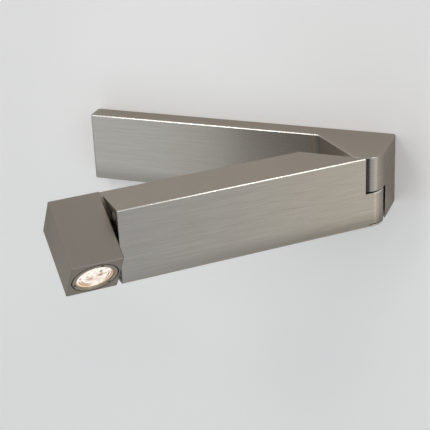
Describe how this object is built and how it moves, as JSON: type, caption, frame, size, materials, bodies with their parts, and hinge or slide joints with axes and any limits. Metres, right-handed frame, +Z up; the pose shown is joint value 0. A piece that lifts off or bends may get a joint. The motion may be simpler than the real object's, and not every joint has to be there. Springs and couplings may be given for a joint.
{
  "type": "adjustable wall lamp",
  "caption": "Wall reading lamp in brushed nickel: box base with a sloped hinge block, box arm that swings out on an upright knuckle hinge, box head that turns on the arm.",
  "frame": {"origin": "on the wall at the middle of the base's back", "axes": "+Z up, +X to the right along the wall, +Y into the wall, so the lamp stands out towards -Y"},
  "size_m": [0.201, 0.1804, 0.0498],
  "materials": {
    "satin_nickel": "satin nickel plate, brushed along the front faces",
    "zinc_steel": "bright zinc plated steel",
    "brass": "plain brass",
    "bronze": "sintered bronze",
    "nylon": "black nylon",
    "rubber": "black rubber",
    "terminal_plastic": "off-white plastic",
    "driver_plastic": "white plastic case",
    "spreader_alloy": "turned",
    "board_white": "white solder mask on aluminium",
    "emitter": "phosphor under clear silicone",
    "lens": "clear moulded optic"
  },
  "bodies": {
    "base": {"base_cover": "satin_nickel", "wall_bracket": "zinc_steel", "cover_screws": "zinc_steel", "cable_grommet": "rubber", "terminal_block": "terminal_plastic", "terminal_clamp_screws": "brass", "terminal_fixing_screws": "brass", "earth_screw": "zinc_steel", "earth_washer": "zinc_steel", "hinge_pin": "zinc_steel", "hinge_lock_screw": "zinc_steel", "thrust_washer": "nylon", "hinge_friction_washer": "zinc_steel", "hinge_spring_washer": "zinc_steel", "hinge_nut": "zinc_steel"},
    "arm": {"arm_shell": "satin_nickel", "hinge_bush": "bronze", "hinge_cap": "satin_nickel", "arm_end_plate": "satin_nickel", "end_plate_screws": "zinc_steel", "pivot_bush": "bronze", "stop_pin": "zinc_steel", "led_driver": "driver_plastic", "driver_pad": "rubber"},
    "head": {"head_shell": "satin_nickel", "head_pivot": "zinc_steel", "pivot_spacer": "nylon", "stop_washer": "zinc_steel", "pivot_spring_washer": "zinc_steel", "pivot_nut": "zinc_steel", "heat_spreader": "spreader_alloy", "led_board": "board_white", "led_board_screws": "zinc_steel", "led_emitter": "emitter", "lens_holder": "nylon", "lens": "lens", "bezel": "satin_nickel"}
  },
  "joints": [
    {"name": "arm_swing", "type": "hinge", "parent": "base", "child": "arm", "pos_m": [0.0885, -0.031, 0], "axis": [0, 0, 1], "range_deg": [-39, 46.5]},
    {"name": "head_turn", "type": "hinge", "parent": "arm", "child": "head", "pos_m": [-0.02962, -0.13896, 0], "axis": [-0.7254, -0.6884, 0], "range_deg": [-220, 110]}
  ]
}
